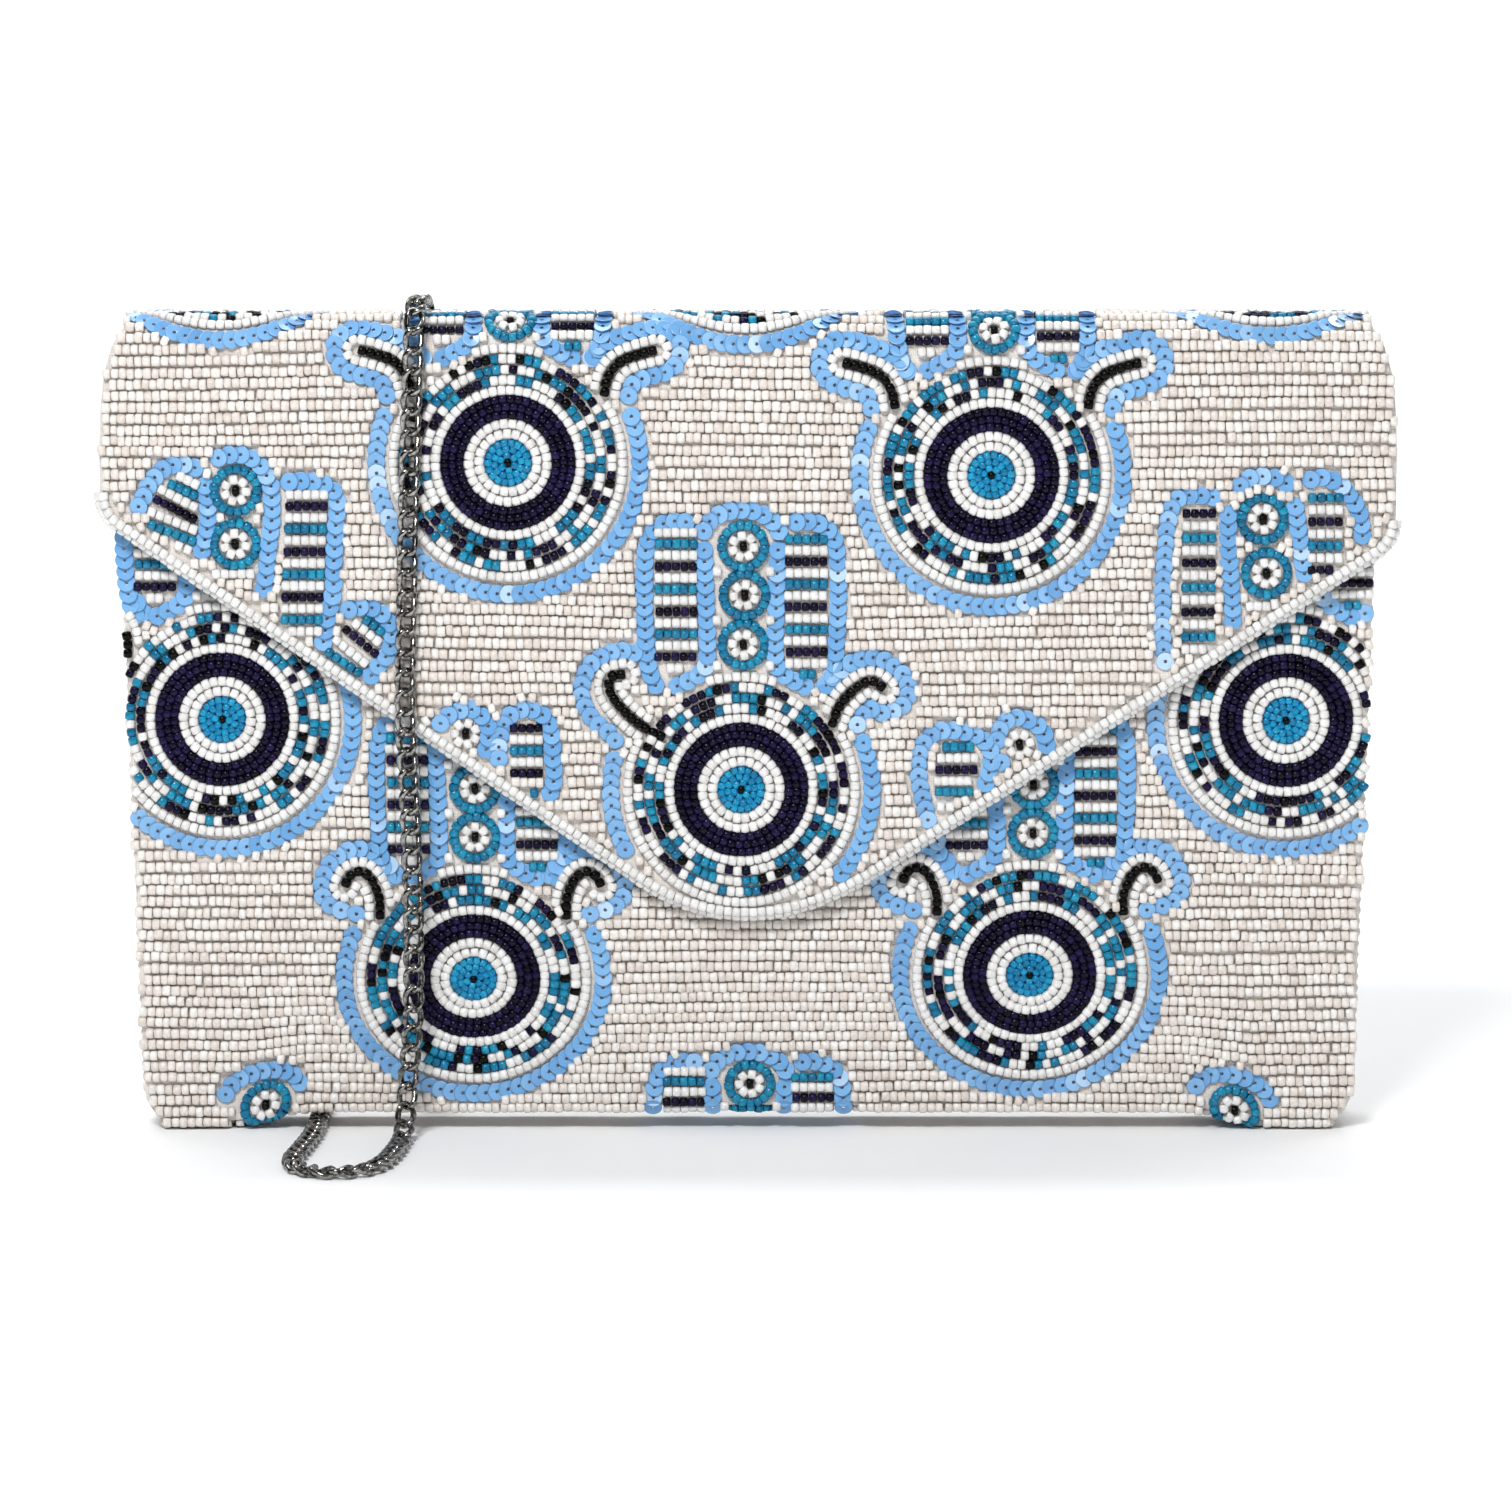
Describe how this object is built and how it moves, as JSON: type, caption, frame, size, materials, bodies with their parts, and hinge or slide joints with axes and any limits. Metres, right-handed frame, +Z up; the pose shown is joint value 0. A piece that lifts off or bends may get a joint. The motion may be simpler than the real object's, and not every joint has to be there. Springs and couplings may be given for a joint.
{
  "type": "beaded envelope clutch purse",
  "caption": "Envelope clutch purse covered in seed beads and sequins, with a fold-over flap, magnetic snap and a clip-on chain strap.",
  "frame": {"origin": "middle of the underside, on the surface that the bag stands on", "axes": "+X across the front to the right, +Y from the front to the back, +Z up"},
  "size_m": [0.2794, 0.1038, 0.1818],
  "materials": {
    "beadwork": "pearl seed beads and cup sequins, glossy",
    "ground_cloth": "plain-woven cotton, matt",
    "board": "pressed stiffening board",
    "lining": "cream satin",
    "snap_metal": "nickel-plated steel",
    "strap_metal": "nickel-plated steel, polished"
  },
  "bodies": {
    "bag": {"back_beadwork": "beadwork", "back_board": "board", "back_cloth": "ground_cloth", "back_lining": "lining", "base_beadwork": "beadwork", "base_board": "board", "base_cloth": "ground_cloth", "base_lining": "lining", "front_beadwork": "beadwork", "front_board": "board", "front_cloth": "ground_cloth", "front_lining": "lining", "left_clasp": "strap_metal", "left_clasp_pin": "strap_metal", "left_jump_ring": "strap_metal", "left_ring": "strap_metal", "left_side_beadwork": "beadwork", "left_side_cloth": "ground_cloth", "left_side_lining": "lining", "left_tab": "ground_cloth", "right_clasp": "strap_metal", "right_clasp_pin": "strap_metal", "right_jump_ring": "strap_metal", "right_ring": "strap_metal", "right_side_beadwork": "beadwork", "right_side_cloth": "ground_cloth", "right_side_lining": "lining", "right_tab": "ground_cloth", "slip_pocket": "lining", "snap_socket": "snap_metal", "snap_socket_washer": "snap_metal", "strap_drape_run": "strap_metal", "strap_left_run": "strap_metal", "strap_right_run": "strap_metal"},
    "spine": {"spine_beadwork": "beadwork", "spine_cloth": "ground_cloth", "spine_lining": "lining"},
    "flap": {"flap_beadwork": "beadwork", "flap_cloth": "ground_cloth", "flap_board": "board", "flap_lining": "lining", "snap_post": "snap_metal", "snap_post_washer": "snap_metal"},
    "left_gate": {"left_clasp_gate": "strap_metal"},
    "right_gate": {"right_clasp_gate": "strap_metal"}
  },
  "joints": [
    {"name": "spine_fold", "type": "hinge", "parent": "bag", "child": "spine", "pos_m": [0, 0.01, 0.177], "axis": [-1, 0, 0], "range_deg": [0, 100], "deforming": ["strap_drape_run"]},
    {"name": "flap_fold", "type": "hinge", "parent": "spine", "child": "flap", "pos_m": [0, -0.01, 0.177], "axis": [-1, 0, 0], "range_deg": [0, 100]},
    {"name": "left_gate_swing", "type": "hinge", "parent": "bag", "child": "left_gate", "pos_m": [-0.11738, 0.00459, 0.158], "axis": [0, 0, -1], "range_deg": [0, 20], "stiffness_Nm_per_rad": 0.0002},
    {"name": "right_gate_swing", "type": "hinge", "parent": "bag", "child": "right_gate", "pos_m": [0.11738, 0.00459, 0.158], "axis": [0, 0, 1], "range_deg": [0, 20], "stiffness_Nm_per_rad": 0.0002}
  ],
  "couplings": [
    {"joint": "flap_fold", "follows": "spine_fold", "ratio": 1}
  ]
}
